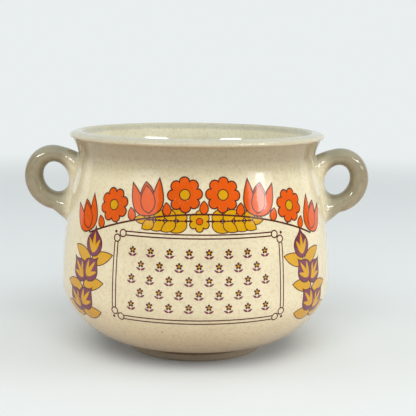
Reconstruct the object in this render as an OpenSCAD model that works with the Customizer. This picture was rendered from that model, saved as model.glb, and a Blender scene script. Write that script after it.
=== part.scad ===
// Two-handled soup crock in glazed stoneware: one turned pot and two ear handles luted to its wall.
// Millimetres, +Z up, origin on the table under the middle of the foot. The handles lie along X.

/* [Pot] */
// Height from the table to the top of the lip
pot_h = 98; // [90:1:110]
// Diameter over the outermost edge of the lip
lip_d = 114; // [111:0.5:120]
// Narrowest diameter outside, under the lip
neck_d = 106; // [102:0.5:108]
// Drop from the top of the lip to that narrowest place
neck_drop = 11; // [9:0.5:13]
// Widest diameter outside
belly_d = 121.4; // [116:0.2:130]
// Height of the widest place
belly_h = 31; // [28:0.5:38]
// Thickness of the side wall
wall_t = 4.4; // [3.6:0.1:5.4]
// Thickness of the floor in the middle
floor_t = 5.4; // [4.6:0.1:7]

/* [Lip] */
// Height of the lip, from where it leaves the neck to its crest
lip_h = 2.9; // [2.4:0.1:3.6]
// Height of the lip's outermost place above where it leaves the neck
lip_nose_h = 0.9; // [0.6:0.1:1.2]
// How far the lip stands out past the neck under it
lip_over = 1.3; // [0.8:0.1:1.8]
// Width of the lip's top face, from its outermost place to its inner corner
lip_top_w = 5.4; // [4.6:0.1:6.4]
// Radius of the lip's inner crest
lip_inner_r = 1.6; // [1:0.1:2]

/* [Foot] */
// Diameter of the foot ring outside
foot_d = 63; // [58:0.5:68]
// Height of the foot ring outside
foot_h = 3; // [2.4:0.1:3.6]
// Width of the ring that stands on the table
foot_w = 3.6; // [2.8:0.1:5]
// Depth of the turned recess under the floor
recess_h = 2.2; // [1.6:0.1:2.8]
// Radius on the foot ring's edges
foot_edge_r = 0.6; // [0.3:0.1:0.9]
// How much narrower the foot ring is at its top than at its edge
foot_taper = 0.5; // [0:0.1:0.8]
// Radius of the hollow where the foot ring meets the underside
foot_hollow_r = 0.7; // [0.4:0.1:1]
// Diameter of the turned edge under the belly
turned_d = 88.6; // [84:0.2:94]
// Height of that edge
turned_h = 7.9; // [7.4:0.1:9]
// Depth of the step at that edge
turned_step = 0.5; // [0.3:0.1:0.8]

/* [Handles] */
// Drop from the top of the lip to the middle of the finger hole
ear_drop = 21.8; // [21:0.2:27]
// Width of the finger hole, away from the wall
hole_w = 11.2; // [10:0.1:13]
// Height of the finger hole
hole_h = 13.8; // [12:0.1:15]
// How far the hole leans away from the wall at its top, in degrees
hole_lean = 22; // [0:1:30]
// Thickness of the handle round the hole
ear_t = 8; // [7:0.1:9]
// Depth of the handle from its front to its back
ear_depth = 10; // [8:0.2:12]
// Clay left between the hole and the wall
web_t = 3.2; // [2.6:0.1:4]
// How far the lower root runs down the wall
lower_root = 9; // [6:0.2:11]
// How far the upper root runs up the wall
upper_root = 2.4; // [1:0.2:3.2]
// How far each root spreads to the front and to the back
side_root = 2.8; // [1:0.2:4]
// Distance from the wall at which the roots begin to spread
root_reach = 8; // [6:0.2:9]

/* [Hidden] */

clay = "#d9d0b1";
lip_r = lip_d / 2;
neck_r = neck_d / 2;
neck_h = pot_h - neck_drop;
belly_r = belly_d / 2;
foot_r = foot_d / 2;
turned_r = turned_d / 2;
floor_h = recess_h + floor_t;
ear_h = pot_h - ear_drop;

// Shares that shape the turned curves
belly_rise_angle = 27;
belly_rise_share = 0.42;
belly_under_share = 0.46;
belly_over_share = 0.51;
neck_under_share = 0.10;
neck_over_share = 0.28;
lip_under_share = 0.34;
round_share = 0.55;
recess_slope_share = 0.35;

// Steps along the turned curves
steps_belly = 22;
steps_side = 22;
steps_neck = 8;
steps_floor = 10;
steps_edge = 6;

// Sides of the turned solids
turned_sides = 180;
// Steps round a handle's hole, and round its section
ear_steps = 60;
ear_sides = 20;
// How fast a root spreads as it nears the wall
root_power = 1.6;
// Share by which the handle is thicker low down on its outer side, and that direction in degrees
heavy_share = 0.07;
heavy_angle = -40;

// Point at t, from 0 to 1, on the cubic curve with end points p and s and handles q and r
function cubic(p, q, r, s, t) =
    pow(1 - t, 3) * p + 3 * pow(1 - t, 2) * t * q + 3 * (1 - t) * t * t * r + pow(t, 3) * s;
// The curve in n steps, without its first point
function curve(p, q, r, s, n) = [for (i = [1 : n]) cubic(p, q, r, s, i / n)];
function unit(v) = v / norm(v);
// Quarter of an oval from a to b, inside the corner between them, in n steps
function quarter(a, corner, b, n) =
    curve(a, a + round_share * (corner - a), b + round_share * (corner - b), b, n);
// A list without its first point
function rest(v) = [for (i = [1 : len(v) - 1]) v[i]];
// Which way the cubic curve runs at t
function cubic_run(p, q, r, s, t) =
    unit(pow(1 - t, 2) * (q - p) + 2 * (1 - t) * t * (r - q) + t * t * (s - r));

// Where a round of that radius leaves the line from the corner towards another point
function round_start(corner, towards, other, radius) =
    let (u = unit(towards - corner), v = unit(other - corner), half = acos(u * v) / 2)
    corner + u * radius / tan(half);
// Arc of that radius in the corner between two straight lines, in n steps
function round_corner(before, corner, after, radius, n) =
    let (
        u = unit(before - corner),
        v = unit(after - corner),
        half = acos(u * v) / 2,
        centre = corner + unit(u + v) * radius / sin(half),
        a = round_start(corner, before, after, radius) - centre,
        b = round_start(corner, after, before, radius) - centre,
        turn = acos(unit(a) * unit(b)),
        side = sign(a[0] * b[1] - a[1] * b[0])
    )
    [for (i = [0 : n])
        let (w = side * turn * i / n)
        centre + [a[0] * cos(w) - a[1] * sin(w), a[0] * sin(w) + a[1] * cos(w)]];

lip_root = [lip_r - lip_over, pot_h - lip_h];
lip_nose = [lip_r, lip_root[1] + lip_nose_h];
// Sharp corners of the lip, before they are rounded
lip_low = [lip_r, lip_root[1]];
lip_top = [lip_r, pot_h];
lip_crest = [lip_r - lip_top_w, pot_h];
neck_out = [neck_r, neck_h];
neck_in = [neck_r - wall_t, neck_h];
belly_out = [belly_r, belly_h];
belly_in = [belly_r - wall_t, belly_h];
foot_edge = [foot_r, 0];
foot_top = [foot_r - foot_taper, foot_h];
turned_low = [turned_r, turned_h];
// Up the slope of the turned edge, and square to it into the clay
up_slope = [cos(belly_rise_angle), sin(belly_rise_angle)];
into_clay = [-sin(belly_rise_angle), cos(belly_rise_angle)];
turned_high = turned_low + turned_step * into_clay;
rise_turn = turned_low + belly_rise_share * (belly_r - turned_r) * up_slope;
belly_turn = belly_out - [0, belly_under_share * (belly_h - turned_h)];

// Outside, from the foot ring to the lip's crest
base = concat(
    round_corner(foot_edge, foot_top, turned_high, foot_hollow_r, steps_edge),
    [turned_high, turned_low]
);
under_belly = curve(turned_low, rise_turn, belly_turn, belly_out, steps_belly);
side_out = curve(
    belly_out,
    belly_out + [0, belly_over_share * (neck_h - belly_h)],
    neck_out - [0, neck_under_share * (neck_h - belly_h)],
    neck_out,
    steps_side
);
// The neck opens to the lip along this line
neck_turn = neck_out + [0, neck_over_share * (lip_root[1] - neck_h)];
flare_out = curve(
    neck_out,
    neck_turn,
    lip_root + lip_under_share * (neck_turn - lip_root),
    lip_root,
    steps_neck
);
lip_flat = round_start(lip_crest, lip_top, neck_in, lip_inner_r);
lip = concat(
    quarter(lip_root, lip_low, lip_nose, steps_edge),
    quarter(lip_nose, lip_top, lip_flat, steps_neck),
    rest(round_corner(lip_top, lip_crest, neck_in, lip_inner_r, steps_edge))
);
outside = concat(base, under_belly, side_out, flare_out, lip);

// Inside, from the lip's crest down to the middle of the floor
lip_in = round_start(lip_crest, neck_in, lip_top, lip_inner_r);
flare_in = curve(
    lip_in,
    lip_in + lip_under_share * (neck_in - lip_in),
    neck_in + [0, neck_over_share * (lip_in[1] - neck_h)],
    neck_in,
    steps_neck
);
side_in = curve(
    neck_in,
    neck_in - [0, neck_under_share * (neck_h - belly_h)],
    belly_in + [0, belly_over_share * (neck_h - belly_h)],
    belly_in,
    steps_side
);
// Inside of the belly, one wall's thickness from its outer curve at t
function inside_belly(t) =
    let (run = cubic_run(turned_low, rise_turn, belly_turn, belly_out, t))
    cubic(turned_low, rise_turn, belly_turn, belly_out, t) + wall_t * [-run[1], run[0]];
belly_inside = [for (i = [1 : steps_belly]) inside_belly(1 - i / steps_belly)];
heel_in = turned_low + wall_t * into_clay;
floor_turn = heel_in - (heel_in[1] - floor_h) / sin(belly_rise_angle) * up_slope;
floor_edge = floor_turn - [norm(heel_in - floor_turn), 0];
floor_in = quarter(heel_in, floor_turn, floor_edge, steps_floor);
inside = concat(flare_in, side_in, belly_inside, floor_in, [[0, floor_h]]);

// Underneath, from the middle of the recess to the foot ring's outer edge
ring_in = foot_r - foot_w;
recess_edge = [ring_in - recess_slope_share * recess_h, recess_h];
underside = concat(
    [[0, recess_h]],
    round_corner([0, recess_h], recess_edge, [ring_in, 0], foot_edge_r, steps_edge),
    round_corner(recess_edge, [ring_in, 0], foot_edge, foot_edge_r, steps_edge),
    round_corner([ring_in, 0], foot_edge, foot_top, foot_edge_r, steps_edge)
);

// Turned pot: foot ring, belly, neck, lip, inside and floor
module pot() {
    color(clay)
        rotate_extrude($fn = turned_sides)
            polygon(concat(underside, outside, inside));
}

// The space inside the outer surface of the wall, which the handles are cut to
module wall_core() {
    rotate_extrude($fn = turned_sides)
        polygon(concat([[0, foot_h]], outside, [[0, lip_in[1]]]));
}

// Radius of the outer wall at height z, between the belly and the lip
wall_table = [for (p = concat([belly_out], side_out, flare_out)) [p[1], p[0]]];
function wall_radius(z) = lookup(z, wall_table);

ear_r = wall_radius(ear_h) + web_t + hole_w / 2;

// From the middle of the leaning oval hole to its edge in direction a
function hole_reach(a) =
    let (b = a + hole_lean)
    (hole_w / 2) * (hole_h / 2) / norm([hole_h / 2 * cos(b), hole_w / 2 * sin(b)]);
// How much of the root's spread a point has, from 0 away from the wall to 1 on it
function root_share(x, z) =
    let (gap = x - wall_radius(z))
    pow(min(1, max(0, 1 - gap / root_reach)), root_power);
// Root along the wall in direction a: long below the hole and short above it
function root_length(a) =
    let (down = (1 - sin(a)) / 2, mix = down * down * (3 - 2 * down))
    upper_root + (lower_root - upper_root) * mix;
// The handle is a little heavier low down on its outer side
function ear_thickness(a) = ear_t * (1 + heavy_share * cos(a - heavy_angle));
// From the middle of the hole to the handle's outer edge in direction a
function ear_reach(a) =
    let (
        plain = hole_reach(a) + ear_thickness(a),
        x = ear_r + plain * cos(a),
        z = ear_h + plain * sin(a)
    )
    plain + root_length(a) * root_share(x, z);

// Point of the handle in direction a round the hole, at angle s round its section
function ear_point(a, s) =
    let (
        near = hole_reach(a),
        far = ear_reach(a),
        reach = (near + far) / 2 - (far - near) / 2 * cos(s),
        x = ear_r + reach * cos(a),
        z = ear_h + reach * sin(a),
        half = ear_depth / 2 + side_root * root_share(x, z)
    )
    [x, half * sin(s), z];

// One ear handle on the +X side: a closed loop of clay, cut to the wall
module ear() {
    points = [
        for (i = [0 : ear_steps - 1], k = [0 : ear_sides - 1])
            ear_point(180 - 360 * i / ear_steps, 360 * k / ear_sides)
    ];
    faces = [
        for (i = [0 : ear_steps - 1], k = [0 : ear_sides - 1])
            let (
                j = (i + 1) % ear_steps,
                m = (k + 1) % ear_sides,
                a = i * ear_sides + k,
                b = i * ear_sides + m,
                c = j * ear_sides + m,
                d = j * ear_sides + k
            )
            each [[a, b, c], [a, c, d]]
    ];
    difference() {
        polyhedron(points, faces);
        wall_core();
    }
}

module handle_left() {
    color(clay)
        mirror([1, 0, 0])
            ear();
}

module handle_right() {
    color(clay)
        ear();
}

pot();
handle_left();
handle_right();
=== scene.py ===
"""Looks of the two-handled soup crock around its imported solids.

The pot is turned and the handles are bent afresh with finer steps than the solids have, from the same sizes.
The fired print lies on the wall as thin films. Glaze, inks and bare clay are procedural.
Sizes in the classes are millimetres, and become metres when a mesh is made.
Angles said to be in degrees become radians where they are used.
"""

import logging
import math
from abc import ABC, abstractmethod
from dataclasses import dataclass
from enum import Enum
from functools import cache
from typing import Optional, Sequence, Union

import bmesh
import bpy
from mathutils import Matrix, Vector


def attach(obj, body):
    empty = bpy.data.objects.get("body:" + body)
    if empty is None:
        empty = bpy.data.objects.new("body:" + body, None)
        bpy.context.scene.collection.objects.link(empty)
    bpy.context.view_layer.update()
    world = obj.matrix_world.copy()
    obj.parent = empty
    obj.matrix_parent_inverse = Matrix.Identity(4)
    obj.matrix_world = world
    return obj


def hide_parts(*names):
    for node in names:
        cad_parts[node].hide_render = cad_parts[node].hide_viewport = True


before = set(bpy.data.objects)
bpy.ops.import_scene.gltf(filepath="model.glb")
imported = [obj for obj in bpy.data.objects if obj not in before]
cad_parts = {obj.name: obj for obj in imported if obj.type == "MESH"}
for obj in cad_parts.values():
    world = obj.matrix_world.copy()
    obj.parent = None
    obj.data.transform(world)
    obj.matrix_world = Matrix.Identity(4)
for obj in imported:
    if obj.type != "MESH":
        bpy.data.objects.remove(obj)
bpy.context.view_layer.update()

MM = 0.001
FULL_TURN = 2 * math.pi
ORIGIN = (0, 0, 0)
UP = (0, 0, 1)
log = logging.getLogger("crock")

Outline = list[Vector]
Colour = tuple[float, float, float]


# Curves

@dataclass(frozen=True)
class Curve:
    """A cubic curve between two ends, each with a handle that it leaves or comes in along."""

    start: Vector
    start_handle: Vector
    end_handle: Vector
    end: Vector

    def at(self, t: float) -> Vector:
        """Gives a point of the curve.

        Args:
            t: Place on the curve, from 0 to 1.

        Returns:
            The point.
        """
        u = 1 - t
        first = u ** 3 * self.start + 3 * u * u * t * self.start_handle
        return first + 3 * u * t * t * self.end_handle + t ** 3 * self.end

    def run(self, t: float) -> Vector:
        """Gives the curve's direction.

        Args:
            t: Place on the curve, from 0 to 1.

        Returns:
            A vector of length 1.
        """
        u = 1 - t
        out, over = self.start_handle - self.start, self.end_handle - self.start_handle
        return (u * u * out + 2 * u * t * over + t * t * (self.end - self.end_handle)).normalized()

    def points(self, steps: int) -> Outline:
        """Gives the curve in steps, without its first point."""
        return [self.at(i / steps) for i in range(1, steps + 1)]


# How far the handles of a quarter of an oval reach towards its corner
ROUND_SHARE = 0.55


def quarter(a: Vector, corner: Vector, b: Vector, steps: int) -> Outline:
    """Gives a quarter of an oval from a to b round a corner, in steps, without its first point."""
    return Curve(a, a + ROUND_SHARE * (corner - a), b + ROUND_SHARE * (corner - b), b).points(steps)


def round_start(corner: Vector, towards: Vector, other: Vector, radius: float) -> Vector:
    """Tells where a corner's round leaves the line towards one point, when its other line goes to another."""
    u, v = (towards - corner).normalized(), (other - corner).normalized()
    return corner + u * radius / math.tan(u.angle(v) / 2)


def round_corner(before: Vector, corner: Vector, after: Vector, radius: float, steps: int) -> Outline:
    """Gives the arc that rounds a corner between two straight lines.

    Args:
        before: A point on the first line.
        corner: The corner.
        after: A point on the second line.
        radius: Radius of the round.
        steps: Number of steps.

    Returns:
        The points, with both ends.
    """
    u, v = (before - corner).normalized(), (after - corner).normalized()
    centre = corner + (u + v).normalized() * radius / math.sin(u.angle(v) / 2)
    a = round_start(corner, before, after, radius) - centre
    b = round_start(corner, after, before, radius) - centre
    turn = a.angle(b) * math.copysign(1, a.x * b.y - a.y * b.x)
    return [centre + Matrix.Rotation(turn * i / steps, 2) @ a for i in range(steps + 1)]


# The pot's shape

@dataclass(frozen=True)
class PotShape:
    """The turned pot: the same sizes and curves as its solid has, in finer steps.

    A long curve has fine steps, and a small edge has edge steps.
    """

    height: float = 98.0
    lip_r: float = 57.0
    neck_r: float = 53.0
    neck_drop: float = 11.0
    belly_r: float = 60.7
    belly_h: float = 31.0
    wall_t: float = 4.4
    floor_t: float = 5.4
    lip_h: float = 2.9
    lip_nose_h: float = 0.9
    lip_over: float = 1.3
    lip_top_w: float = 5.4
    lip_inner_r: float = 1.6
    foot_r: float = 31.5
    foot_h: float = 3.0
    foot_w: float = 3.6
    recess_h: float = 2.2
    foot_edge_r: float = 0.6
    foot_taper: float = 0.5
    foot_hollow_r: float = 0.7
    turned_r: float = 44.3
    turned_h: float = 7.9
    turned_step: float = 0.5
    turned_edge_r: float = 0.35
    rise_angle: float = math.radians(27)
    belly_rise_share: float = 0.42
    belly_under_share: float = 0.46
    belly_over_share: float = 0.51
    neck_under_share: float = 0.10
    neck_over_share: float = 0.28
    lip_under_share: float = 0.34
    recess_slope_share: float = 0.35
    fine: int = 40
    edge: int = 8

    def _points(self) -> dict[str, Vector]:
        """Names the points of the section, each as a radius and a height.

        Returns:
            The points, and the directions up along the first rise of the belly and into its clay.
        """
        neck_h = self.height - self.neck_drop
        root = Vector((self.lip_r - self.lip_over, self.height - self.lip_h))
        up = Vector((math.cos(self.rise_angle), math.sin(self.rise_angle)))
        turned = Vector((self.turned_r, self.turned_h))
        belly = Vector((self.belly_r, self.belly_h))
        side_h = neck_h - self.belly_h
        return {
            "foot_edge": Vector((self.foot_r, 0)),
            "foot_top": Vector((self.foot_r - self.foot_taper, self.foot_h)),
            "turned": turned,
            "rise": turned + self.belly_rise_share * (self.belly_r - self.turned_r) * up,
            "belly_low": belly - Vector((0, self.belly_under_share * (self.belly_h - self.turned_h))),
            "belly": belly,
            "belly_high": belly + Vector((0, self.belly_over_share * side_h)),
            "neck_low": Vector((self.neck_r, neck_h - self.neck_under_share * side_h)),
            "neck": Vector((self.neck_r, neck_h)),
            "neck_turn": Vector((self.neck_r, neck_h + self.neck_over_share * (root.y - neck_h))),
            "root": root,
            "low": Vector((self.lip_r, root.y)),
            "nose": root + Vector((self.lip_over, self.lip_nose_h)),
            "top": Vector((self.lip_r, self.height)),
            "crest": Vector((self.lip_r - self.lip_top_w, self.height)),
            "neck_in": Vector((self.neck_r - self.wall_t, neck_h)),
            "belly_in": belly - Vector((self.wall_t, 0)),
            "up": up,
            "into": Vector((-up.y, up.x)),
        }

    def _belly(self) -> Curve:
        """Gives the curve from the turned edge to the belly."""
        p = self._points()
        return Curve(p["turned"], p["rise"], p["belly_low"], p["belly"])

    def under_belly(self) -> Outline:
        """Gives the outside from the turned edge to the belly, without its first point."""
        return self._belly().points(self.fine)

    def wall(self) -> Outline:
        """Gives the outside from the belly to where the lip leaves the neck.

        Returns:
            The points, with both ends.
        """
        p = self._points()
        side = Curve(p["belly"], p["belly_high"], p["neck_low"], p["neck"]).points(self.fine)
        lip_low = p["root"] + self.lip_under_share * (p["neck_turn"] - p["root"])
        flare = Curve(p["neck"], p["neck_turn"], lip_low, p["root"]).points(self.edge * 2)
        return [p["belly"]] + side + flare

    def outside(self) -> Outline:
        """Gives the outside from the foot ring to the lip's crest.

        Returns:
            The points.
        """
        p = self._points()
        high = p["turned"] + self.turned_step * p["into"]
        foot = round_corner(p["foot_edge"], p["foot_top"], high, self.foot_hollow_r, self.edge)
        edge = round_corner(high, p["turned"], self.under_belly()[0], self.turned_edge_r, self.edge)
        flat = round_start(p["crest"], p["top"], p["neck_in"], self.lip_inner_r)
        lip = quarter(p["root"], p["low"], p["nose"], self.edge * 2)
        lip += quarter(p["nose"], p["top"], flat, self.edge * 3)
        lip += round_corner(p["top"], p["crest"], p["neck_in"], self.lip_inner_r, self.edge)[1:]
        return foot + edge + self.under_belly() + self.wall()[1:] + lip

    def inside(self) -> Outline:
        """Gives the inside from the lip's crest to the middle of the floor.

        Returns:
            The points, without the first.
        """
        p = self._points()
        neck_in, gap = p["neck_in"], Vector((self.wall_t, 0))
        lip_in = round_start(p["crest"], neck_in, p["top"], self.lip_inner_r)
        lip_low = lip_in + self.lip_under_share * (neck_in - lip_in)
        neck_turn = Vector((neck_in.x, neck_in.y + self.neck_over_share * (lip_in.y - neck_in.y)))
        flare = Curve(lip_in, lip_low, neck_turn, neck_in).points(self.edge)
        side = Curve(neck_in, p["neck_low"] - gap, p["belly_high"] - gap, p["belly_in"]).points(self.fine)
        outer, belly = self._belly(), []
        for i in range(1, self.fine + 1):
            run = outer.run(1 - i / self.fine)
            belly.append(outer.at(1 - i / self.fine) + self.wall_t * Vector((-run.y, run.x)))
        floor_h, heel = self.recess_h + self.floor_t, belly[-1]
        turn = heel - (heel.y - floor_h) / math.sin(self.rise_angle) * p["up"]
        edge = Vector((turn.x - (heel - turn).length, floor_h))
        return flare + side + belly + quarter(heel, turn, edge, self.edge * 2) + [Vector((0, floor_h))]

    def underside(self) -> Outline:
        """Gives the underside from the middle of the recess to the foot ring's outer edge.

        Returns:
            The points.
        """
        p = self._points()
        ring_in = Vector((self.foot_r - self.foot_w, 0))
        recess = Vector((ring_in.x - self.recess_slope_share * self.recess_h, self.recess_h))
        path = [Vector((0, self.recess_h)), recess, ring_in, p["foot_edge"], p["foot_top"]]
        outline = path[:1]
        for before, corner, after in zip(path, path[1:], path[2:]):
            outline += round_corner(before, corner, after, self.foot_edge_r, self.edge)
        return outline


POT = PotShape()


class Wall:
    """The outer wall as a table of radii, which the handles and the print follow."""

    STEP = 0.25
    # The shown pot is this share of the solid's width, so that the print on it stays in the solid's box
    FIT = 0.9992

    def __init__(self, pot: PotShape) -> None:
        """Samples the wall.

        Args:
            pot: The pot's shape.
        """
        outline = pot.under_belly() + pot.wall()[1:]
        count = int(pot.height / self.STEP) + 2
        self._radii = [self._sample(outline, i * self.STEP) for i in range(count)]

    @staticmethod
    def _sample(outline: Outline, z: float) -> float:
        """Finds the radius of an outline that runs upwards.

        Args:
            outline: Its points, each a radius and a height.
            z: The height.

        Returns:
            The radius there, or that of the nearer end.
        """
        for a, b in zip(outline, outline[1:]):
            if a.y <= z <= b.y:
                return a.x + (b.x - a.x) * (z - a.y) / (b.y - a.y)
        return outline[0].x if z < outline[0].y else outline[-1].x

    def radius(self, z: float) -> float:
        """Gives the wall's radius.

        Args:
            z: Height.

        Returns:
            The solid's radius there.
        """
        place = min(max(z / self.STEP, 0), len(self._radii) - 2)
        i = int(place)
        return self._radii[i] + (self._radii[i + 1] - self._radii[i]) * (place - i)

    def point(self, angle: float, z: float, rise: float) -> Vector:
        """Gives a point in metres, by radians from the front towards +X, height and rise over the glaze."""
        r = self.radius(z) * self.FIT + rise
        return Vector((r * math.sin(angle), -r * math.cos(angle), z)) * MM


WALL = Wall(POT)


# Shader nodes

Number = Union["Wire", float]


class Wire:
    """An output socket of a node, on which the usual operators add Math nodes."""

    def __init__(self, graph: "Graph", socket: bpy.types.NodeSocket) -> None:
        """Wraps a socket of a graph."""
        self.graph, self.socket = graph, socket

    def _math(self, operation: str, *values: Number) -> "Wire":
        """Adds a Math node."""
        return self.graph.wire("ShaderNodeMath", 0, {"operation": operation}, dict(enumerate(values)))

    def __add__(self, other: Number) -> "Wire":
        """Adds."""
        return self._math("ADD", self, other)

    __radd__ = __add__

    def __sub__(self, other: Number) -> "Wire":
        """Subtracts."""
        return self._math("SUBTRACT", self, other)

    def __rsub__(self, other: Number) -> "Wire":
        """Subtracts from a value."""
        return self._math("SUBTRACT", other, self)

    def __mul__(self, other: Number) -> "Wire":
        """Multiplies."""
        return self._math("MULTIPLY", self, other)

    __rmul__ = __mul__

    def root(self) -> "Wire":
        """Takes the square root."""
        return self._math("SQRT", self)

    def at_least(self, other: Number) -> "Wire":
        """Takes the larger of the two."""
        return self._math("MAXIMUM", self, other)

    def ramp(self, low: float, high: float, unit: float = 1.0) -> "Wire":
        """Rises smoothly from 0 at low to 1 at high, both in that unit."""
        feeds = {"Value": self, "From Min": low * unit, "From Max": high * unit}
        return self.graph.wire("ShaderNodeMapRange", 0, {"interpolation_type": "SMOOTHSTEP"}, feeds)


Feed = Union[Wire, float, Sequence[float]]


class Graph:
    """The node tree of a material or of the world."""

    def __init__(self, owner: Union[bpy.types.Material, bpy.types.World]) -> None:
        """Empties the tree of its owner.

        Args:
            owner: The material or the world.
        """
        owner.use_nodes = True
        self.owner, self.tree = owner, owner.node_tree
        self.tree.nodes.clear()

    def node(
        self, kind: str, settings: Optional[dict] = None, feeds: Optional[dict] = None
    ) -> bpy.types.Node:
        """Adds a node.

        Args:
            kind: Blender's type name of the node.
            settings: Values of the node's own settings, which are set first.
            feeds: Values or wires for its inputs, by name or number. A colour is given without its alpha.

        Returns:
            The node.
        """
        made = self.tree.nodes.new(kind)
        for key, value in (settings or {}).items():
            setattr(made, key, value)
        for key, value in (feeds or {}).items():
            socket = self._socket(made.inputs, key)
            if isinstance(value, Wire):
                self.tree.links.new(value.socket, socket)
            else:
                socket.default_value = (*value, 1.0) if socket.type == "RGBA" else value
        return made

    @staticmethod
    def _socket(sockets: Sequence[bpy.types.NodeSocket], key: Union[str, int]) -> bpy.types.NodeSocket:
        """Finds a socket by its number, or by its name among those that the node's settings leave in use.

        Args:
            sockets: The node's inputs or outputs.
            key: Number or name.

        Returns:
            The socket.
        """
        if isinstance(key, int):
            return sockets[key]
        return next(socket for socket in sockets if socket.enabled and socket.name == key)

    def wire(
        self, kind: str, out: Union[str, int], settings: Optional[dict] = None, feeds: Optional[dict] = None
    ) -> Wire:
        """Adds a node and wraps one of its outputs."""
        return Wire(self, self._socket(self.node(kind, settings, feeds).outputs, out))

    def place(self) -> Wire:
        """Gives the Object coordinates."""
        return self.wire("ShaderNodeTexCoord", "Object")

    def axis(self, name: str) -> Wire:
        """Gives one Object coordinate in metres."""
        return self.wire("ShaderNodeSeparateXYZ", name, None, {"Vector": self.place()})

    def moved(self, shift: float) -> Wire:
        """Gives the Object coordinates shifted along every axis, so that two patterns differ."""
        return self.wire("ShaderNodeMapping", 0, None, {"Vector": self.place(), "Location": (shift,) * 3})

    def blend(self, share: Feed, a: Feed, b: Feed, kind: str = "MIX") -> Wire:
        """Mixes two colours by the share of the second, which goes over the first in that kind of way."""
        feeds = {"Factor": share, "A": a, "B": b}
        return self.wire("ShaderNodeMix", "Result", {"data_type": "RGBA", "blend_type": kind}, feeds)

    def either(self, share: Number, a: Wire, b: Wire) -> Wire:
        """Mixes two shaders by the share of the second."""
        return self.wire("ShaderNodeMixShader", 0, None, {0: share, 1: a, 2: b})

    def bump(self, height: Number, depth: float) -> Wire:
        """Gives the normals of a relief whose height from 0 to 1 stands for that depth."""
        feeds = {"Height": height, "Distance": depth * MM, "Strength": 1.0}
        return self.wire("ShaderNodeBump", 0, None, feeds)

    def surface(self, **feeds: Feed) -> bpy.types.Material:
        """Closes the tree with a Principled shader, whose inputs have underscores in place of spaces."""
        named = {key.replace("_", " "): value for key, value in feeds.items()}
        return self.close(self.wire("ShaderNodeBsdfPrincipled", 0, None, named))

    def close(self, shader: Wire, output: str = "ShaderNodeOutputMaterial") -> bpy.types.Material:
        """Leads a shader to the tree's output, and gives the tree's owner."""
        self.node(output, None, {"Surface": shader})
        return self.owner


@dataclass(frozen=True)
class Grain:
    """A soft noise whose spots have about that size.

    Its mask rises from 0 to its strength as the noise goes from low to high.
    """

    size: float
    detail: float = 2.0
    roughness: float = 0.5
    shift: float = 0.0
    low: float = 0.0
    high: float = 1.0
    strength: float = 1.0

    def noise(self, g: Graph) -> Wire:
        """Gives the noise, a number round 0.5.

        Args:
            g: The graph that it goes in.

        Returns:
            The number.
        """
        feeds = {"Vector": g.moved(self.shift), "Scale": 1 / (self.size * MM)}
        feeds |= {"Detail": self.detail, "Roughness": self.roughness}
        return g.wire("ShaderNodeTexNoise", 0, None, feeds)

    def mask(self, g: Graph) -> Wire:
        """Gives the mask."""
        return self.noise(g).ramp(self.low, self.high) * self.strength


@dataclass(frozen=True)
class Specks:
    """Round specks of uneven size.

    A share of the cells holds one each, whose largest radius is a share of the cell.
    """

    cell: float
    radius_share: float
    filled_share: float
    strength: float = 1.0
    shift: float = 0.0
    soft_share: float = 0.25

    def mask(self, g: Graph) -> Wire:
        """Gives the mask of the specks.

        Args:
            g: The graph that it goes in.

        Returns:
            The mask, from 0 to its strength.
        """
        feeds = {"Vector": g.moved(self.shift), "Scale": 1 / (self.cell * MM)}
        cells = g.node("ShaderNodeTexVoronoi", {"feature": "F1"}, feeds)
        chance = g.wire("ShaderNodeSeparateColor", "Red", None, {"Color": Wire(g, cells.outputs["Color"])})
        reach = (self.filled_share - chance).at_least(0.0) * (self.radius_share / self.filled_share)
        inside = reach - Wire(g, cells.outputs["Distance"])
        return inside.ramp(0.0, self.radius_share * self.soft_share) * self.strength


# Finishes

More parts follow.
